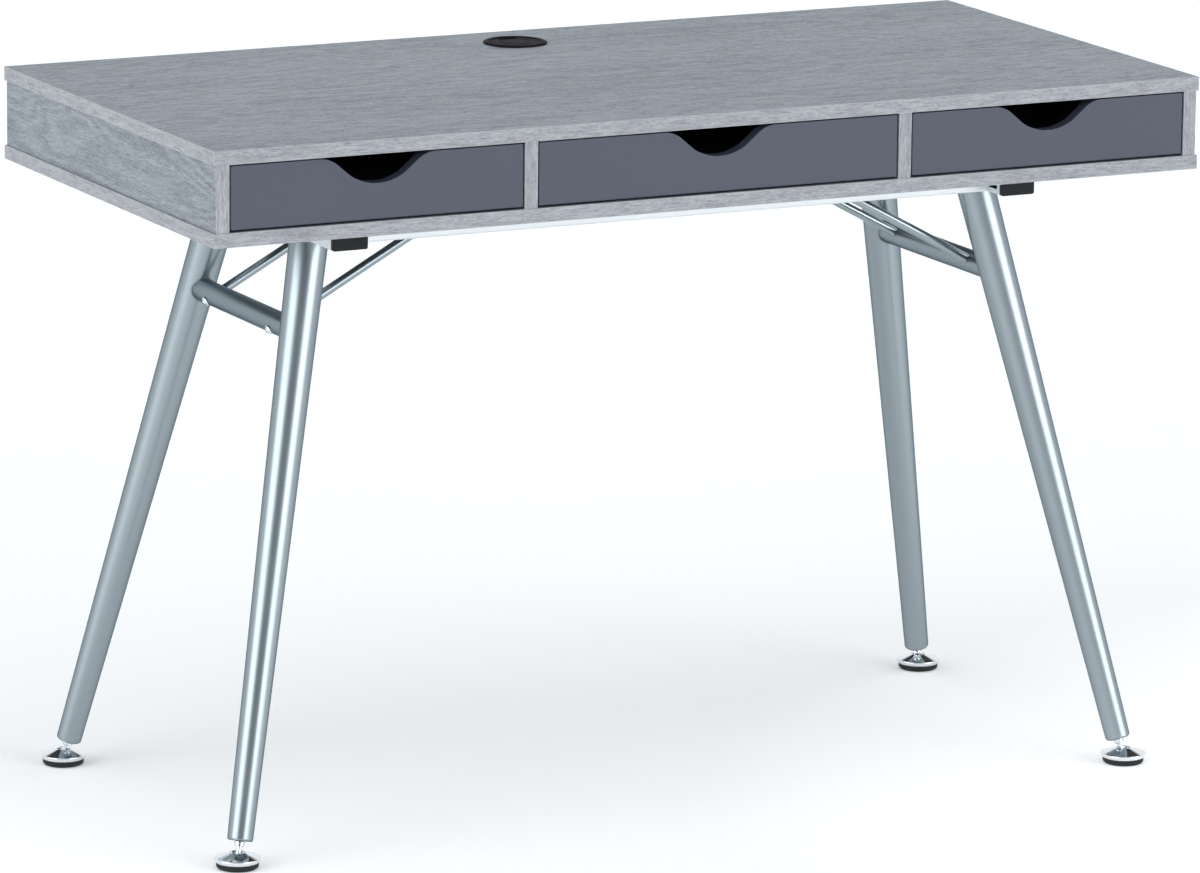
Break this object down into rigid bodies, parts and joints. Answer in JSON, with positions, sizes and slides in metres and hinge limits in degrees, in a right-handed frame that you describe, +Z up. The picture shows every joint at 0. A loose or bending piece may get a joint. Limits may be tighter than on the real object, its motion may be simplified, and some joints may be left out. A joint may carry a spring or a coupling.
{
  "type": "writing desk with drawers",
  "caption": "Rectangular writing desk: shallow panel case with scooped drawer fronts on a steel underframe, splayed tapered round legs with diagonal braces and swivel levelling feet.",
  "frame": {"origin": "on the floor, under the middle of the desk", "axes": "+X to the right of a person sitting at the desk, +Y away from them to the back, +Z up"},
  "size_m": [1.15, 0.557, 0.7655],
  "materials": {
    "grey_oak_laminate": "textured laminate on particle board, grey oak grain",
    "slate_lacquer": "satin slate grey lacquer on board",
    "drawer_board": "plain grey laminate",
    "drawer_hardboard": "thin painted hardboard",
    "runner_nylon": "moulded nylon",
    "silver_paint": "satin silver powder coat on steel tube",
    "zinc_steel": "bright zinc-plated steel",
    "chrome": "polished",
    "black_plastic": "moulded, slightly glossy",
    "black_rubber": "moulded"
  },
  "bodies": {
    "desk": {"top_panel": "grey_oak_laminate", "bottom_panel": "grey_oak_laminate", "back_panel": "grey_oak_laminate", "left_side_panel": "grey_oak_laminate", "right_side_panel": "grey_oak_laminate", "left_divider": "grey_oak_laminate", "right_divider": "grey_oak_laminate", "grommet_sleeve": "black_plastic", "left_bay_left_runner": "runner_nylon", "left_bay_right_runner": "runner_nylon", "middle_bay_left_runner": "runner_nylon", "middle_bay_right_runner": "runner_nylon", "right_bay_left_runner": "runner_nylon", "right_bay_right_runner": "runner_nylon", "front_rail": "silver_paint", "back_rail": "silver_paint", "left_bearer": "silver_paint", "left_cross_tube": "silver_paint", "left_front_tube_cap": "black_plastic", "left_front_leg": "silver_paint", "left_front_brace": "zinc_steel", "left_back_tube_cap": "black_plastic", "left_back_leg": "silver_paint", "left_back_brace": "zinc_steel", "right_bearer": "silver_paint", "right_cross_tube": "silver_paint", "right_front_tube_cap": "black_plastic", "right_front_leg": "silver_paint", "right_front_brace": "zinc_steel", "right_back_tube_cap": "black_plastic", "right_back_leg": "silver_paint", "right_back_brace": "zinc_steel"},
    "left_drawer": {"left_drawer_front": "slate_lacquer", "left_drawer_left_side": "drawer_board", "left_drawer_right_side": "drawer_board", "left_drawer_back": "drawer_board", "left_drawer_base": "drawer_hardboard"},
    "middle_drawer": {"middle_drawer_front": "slate_lacquer", "middle_drawer_left_side": "drawer_board", "middle_drawer_right_side": "drawer_board", "middle_drawer_back": "drawer_board", "middle_drawer_base": "drawer_hardboard"},
    "right_drawer": {"right_drawer_front": "slate_lacquer", "right_drawer_left_side": "drawer_board", "right_drawer_right_side": "drawer_board", "right_drawer_back": "drawer_board", "right_drawer_base": "drawer_hardboard"},
    "grommet_cap": {"grommet_cap": "black_plastic"},
    "left_front_stud": {"left_front_foot_stud": "zinc_steel"},
    "left_front_glide": {"left_front_foot_cup": "chrome", "left_front_foot_pad": "black_rubber"},
    "left_back_stud": {"left_back_foot_stud": "zinc_steel"},
    "left_back_glide": {"left_back_foot_cup": "chrome", "left_back_foot_pad": "black_rubber"},
    "right_front_stud": {"right_front_foot_stud": "zinc_steel"},
    "right_front_glide": {"right_front_foot_cup": "chrome", "right_front_foot_pad": "black_rubber"},
    "right_back_stud": {"right_back_foot_stud": "zinc_steel"},
    "right_back_glide": {"right_back_foot_cup": "chrome", "right_back_foot_pad": "black_rubber"}
  },
  "joints": [
    {"name": "left_drawer_slide", "type": "slide", "parent": "desk", "child": "left_drawer", "axis": [0, -1, 0], "range_m": [0, 0.28]},
    {"name": "middle_drawer_slide", "type": "slide", "parent": "desk", "child": "middle_drawer", "axis": [0, -1, 0], "range_m": [0, 0.28]},
    {"name": "right_drawer_slide", "type": "slide", "parent": "desk", "child": "right_drawer", "axis": [0, -1, 0], "range_m": [0, 0.28]},
    {"name": "grommet_cap_turn", "type": "hinge", "parent": "desk", "child": "grommet_cap", "pos_m": [-0.005, 0.203, 0.7645], "axis": [0, 0, 1], "continuous": true},
    {"name": "left_front_foot_screw", "type": "slide", "parent": "desk", "child": "left_front_stud", "axis": [-0.2049, -0.1837, -0.9614], "range_m": [0, 0.012]},
    {"name": "left_front_foot_tilt", "type": "hinge", "parent": "left_front_stud", "child": "left_front_glide", "pos_m": [-0.52853, -0.23325, 0.0055], "axis": [-0.6676, 0.7445, 0], "range_deg": [-4, 16]},
    {"name": "left_back_foot_screw", "type": "slide", "parent": "desk", "child": "left_back_stud", "axis": [-0.2049, 0.1837, -0.9614], "range_m": [0, 0.012]},
    {"name": "left_back_foot_tilt", "type": "hinge", "parent": "left_back_stud", "child": "left_back_glide", "pos_m": [-0.52853, 0.23325, 0.0055], "axis": [0.6676, 0.7445, 0], "range_deg": [-4, 16]},
    {"name": "right_front_foot_screw", "type": "slide", "parent": "desk", "child": "right_front_stud", "axis": [0.2049, -0.1837, -0.9614], "range_m": [0, 0.012]},
    {"name": "right_front_foot_tilt", "type": "hinge", "parent": "right_front_stud", "child": "right_front_glide", "pos_m": [0.52853, -0.23325, 0.0055], "axis": [-0.6676, -0.7445, 0], "range_deg": [-4, 16]},
    {"name": "right_back_foot_screw", "type": "slide", "parent": "desk", "child": "right_back_stud", "axis": [0.2049, 0.1837, -0.9614], "range_m": [0, 0.012]},
    {"name": "right_back_foot_tilt", "type": "hinge", "parent": "right_back_stud", "child": "right_back_glide", "pos_m": [0.52853, 0.23325, 0.0055], "axis": [0.6676, -0.7445, 0], "range_deg": [-4, 16]}
  ]
}
